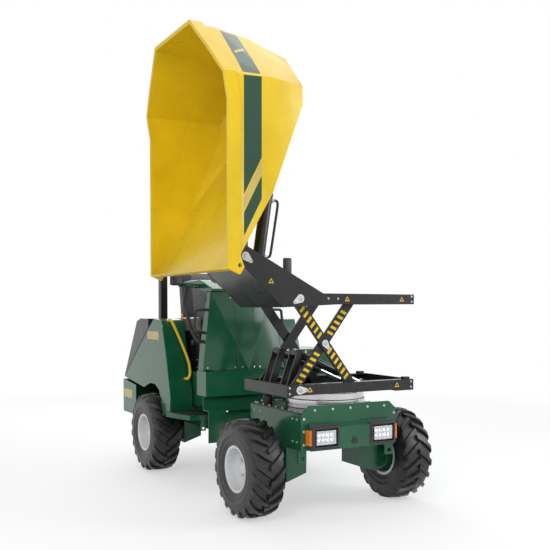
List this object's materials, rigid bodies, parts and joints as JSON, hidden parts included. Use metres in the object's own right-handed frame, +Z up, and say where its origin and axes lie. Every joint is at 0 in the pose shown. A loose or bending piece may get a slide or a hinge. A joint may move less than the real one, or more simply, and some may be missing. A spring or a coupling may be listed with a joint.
{
  "type": "site dumper",
  "caption": "Articulated wheeled site dumper with a swivelling skip on a scissor lift and gooseneck, side driver's station, roll-over frame and rear battery hood",
  "frame": {"origin": "centre of the overall box in plan, on the ground", "axes": "+X to the machine's left, +Y to its rear, +Z up; it drives towards -Y"},
  "size_m": [2.0046, 3.393, 3.386],
  "materials": {
    "body_green": "gloss dark green paint",
    "lift_black": "satin black paint",
    "skip_yellow": "gloss yellow paint",
    "rail_yellow": "gloss yellow paint",
    "rim_silver": "silver paint",
    "ring_steel": "machined steel",
    "rod_chrome": "hard chrome",
    "tyre": "moulded rubber",
    "black_rubber": "matt rubber",
    "black_plastic": "grained plastic",
    "seat_fabric": "grey woven cloth",
    "lamp_glass": "clear lens"
  },
  "bodies": {
    "rear": {"rear_chassis": "body_green", "battery_block": "lift_black", "floor_box": "body_green", "entry_step": "body_green", "apron": "body_green", "cowl": "body_green", "dash_console": "body_green", "steering_wheel": "black_plastic", "mirror_right": "black_plastic", "mirror_left": "black_plastic", "hand_loop_right": "black_rubber", "hand_loop_left": "black_rubber", "conduit": "black_rubber", "seat_pedestal": "lift_black", "seat_cushion": "seat_fabric", "seat_back": "seat_fabric", "left_cabinet": "body_green", "fender_right": "body_green", "fender_left": "body_green", "hood": "lift_black", "tail_panel": "body_green", "handrail": "rail_yellow", "rops_frame": "lift_black"},
    "front": {"front_chassis": "body_green", "front_plate": "body_green", "headlamp_right": "lamp_glass", "headlamp_left": "lamp_glass", "deck_plate": "lift_black", "slew_ring_lower": "ring_steel", "slew_motor": "lift_black"},
    "turntable": {"slew_ring_upper": "ring_steel", "base_frame": "lift_black"},
    "arm_a": {"scissor_arms_inner": "lift_black"},
    "arm_b": {"scissor_arms_outer": "lift_black"},
    "upper": {"upper_frame": "lift_black"},
    "skip": {"skip": "skip_yellow"},
    "tip_barrel": {"tip_barrel": "lift_black", "tip_hose": "black_rubber"},
    "tip_rod": {"tip_rod": "rod_chrome"},
    "lift_barrel_front": {"lift_barrel_front": "lift_black"},
    "lift_rod_front": {"lift_rod_front": "rod_chrome"},
    "wheel_front_right": {"tyre_front_right": "tyre", "rim_front_right": "rim_silver"},
    "wheel_front_left": {"tyre_front_left": "tyre", "rim_front_left": "rim_silver"},
    "lift_barrel_rear": {"lift_barrel_rear": "lift_black"},
    "lift_rod_rear": {"lift_rod_rear": "rod_chrome"},
    "wheel_rear_right": {"tyre_rear_right": "tyre", "rim_rear_right": "rim_silver"},
    "wheel_rear_left": {"tyre_rear_left": "tyre", "rim_rear_left": "rim_silver"}
  },
  "joints": [
    {"name": "wheel_front_right", "type": "hinge", "parent": "front", "child": "wheel_front_right", "pos_m": [-0.41968, -1.0105, 0.355], "axis": [1, 0, 0], "continuous": true},
    {"name": "wheel_front_left", "type": "hinge", "parent": "front", "child": "wheel_front_left", "pos_m": [0.87032, -1.0105, 0.355], "axis": [1, 0, 0], "continuous": true},
    {"name": "wheel_rear_right", "type": "hinge", "parent": "rear", "child": "wheel_rear_right", "pos_m": [-0.41968, 0.9095, 0.355], "axis": [1, 0, 0], "continuous": true},
    {"name": "wheel_rear_left", "type": "hinge", "parent": "rear", "child": "wheel_rear_left", "pos_m": [0.87032, 0.9095, 0.355], "axis": [1, 0, 0], "continuous": true},
    {"name": "steer", "type": "hinge", "parent": "rear", "child": "front", "pos_m": [0.22532, -0.3005, 0.64], "axis": [0, 0, 1], "range_deg": [-30, 30]},
    {"name": "slew", "type": "hinge", "parent": "front", "child": "turntable", "pos_m": [0.22532, -1.0105, 0.862], "axis": [0, 0, 1], "range_deg": [0, 180]},
    {"name": "lift", "type": "hinge", "parent": "turntable", "child": "arm_a", "pos_m": [-0.18668, -1.0105, 0.932], "axis": [0, 1, 0], "range_deg": [0, 37.5]},
    {"name": "lift_cross", "type": "hinge", "parent": "arm_a", "child": "arm_b", "pos_m": [0.05732, -1.0105, 1.251], "axis": [0, 1, 0], "range_deg": [-75.5, 0]},
    {"name": "lift_top", "type": "hinge", "parent": "arm_b", "child": "upper", "pos_m": [-0.18668, -1.0105, 1.57], "axis": [0, 1, 0], "range_deg": [0, 38]},
    {"name": "tip", "type": "hinge", "parent": "upper", "child": "skip", "pos_m": [-0.60968, -1.0105, 1.85], "axis": [0, 1, 0], "range_deg": [0, 78]},
    {"name": "tip_barrel_swing", "type": "hinge", "parent": "upper", "child": "tip_barrel", "pos_m": [-0.37468, -1.0105, 1.645], "axis": [0, 1, 0], "range_deg": [0, 82]},
    {"name": "tip_rod_slide", "type": "slide", "parent": "tip_barrel", "child": "tip_rod", "axis": [0.1469, 0, 0.9892], "range_m": [-0.3895, 0]},
    {"name": "lift_barrel_front_swing", "type": "hinge", "parent": "arm_a", "child": "lift_barrel_front", "pos_m": [-0.09968, -1.1405, 1.18], "axis": [0, 1, 0], "range_deg": [-42.5, 0]},
    {"name": "lift_rod_front_slide", "type": "slide", "parent": "lift_barrel_front", "child": "lift_rod_front", "axis": [0.92, 0, -0.392], "range_m": [-0.168, 0]},
    {"name": "lift_barrel_rear_swing", "type": "hinge", "parent": "arm_a", "child": "lift_barrel_rear", "pos_m": [-0.09968, -0.8805, 1.18], "axis": [0, 1, 0], "range_deg": [-42.5, 0]},
    {"name": "lift_rod_rear_slide", "type": "slide", "parent": "lift_barrel_rear", "child": "lift_rod_rear", "axis": [0.92, 0, -0.392], "range_m": [-0.168, 0]}
  ],
  "couplings": [
    {"joint": "lift_cross", "follows": "lift", "ratio": -2},
    {"joint": "lift_top", "follows": "lift", "ratio": 1},
    {"joint": "tip_barrel_swing", "follows": "tip", "ratio": 1.041},
    {"joint": "tip_rod_slide", "follows": "tip", "m_per_rad": -0.2857},
    {"joint": "lift_barrel_front_swing", "follows": "lift", "ratio": -1.12},
    {"joint": "lift_rod_front_slide", "follows": "lift", "m_per_rad": -0.256},
    {"joint": "lift_barrel_rear_swing", "follows": "lift", "ratio": -1.12},
    {"joint": "lift_rod_rear_slide", "follows": "lift", "m_per_rad": -0.256}
  ]
}
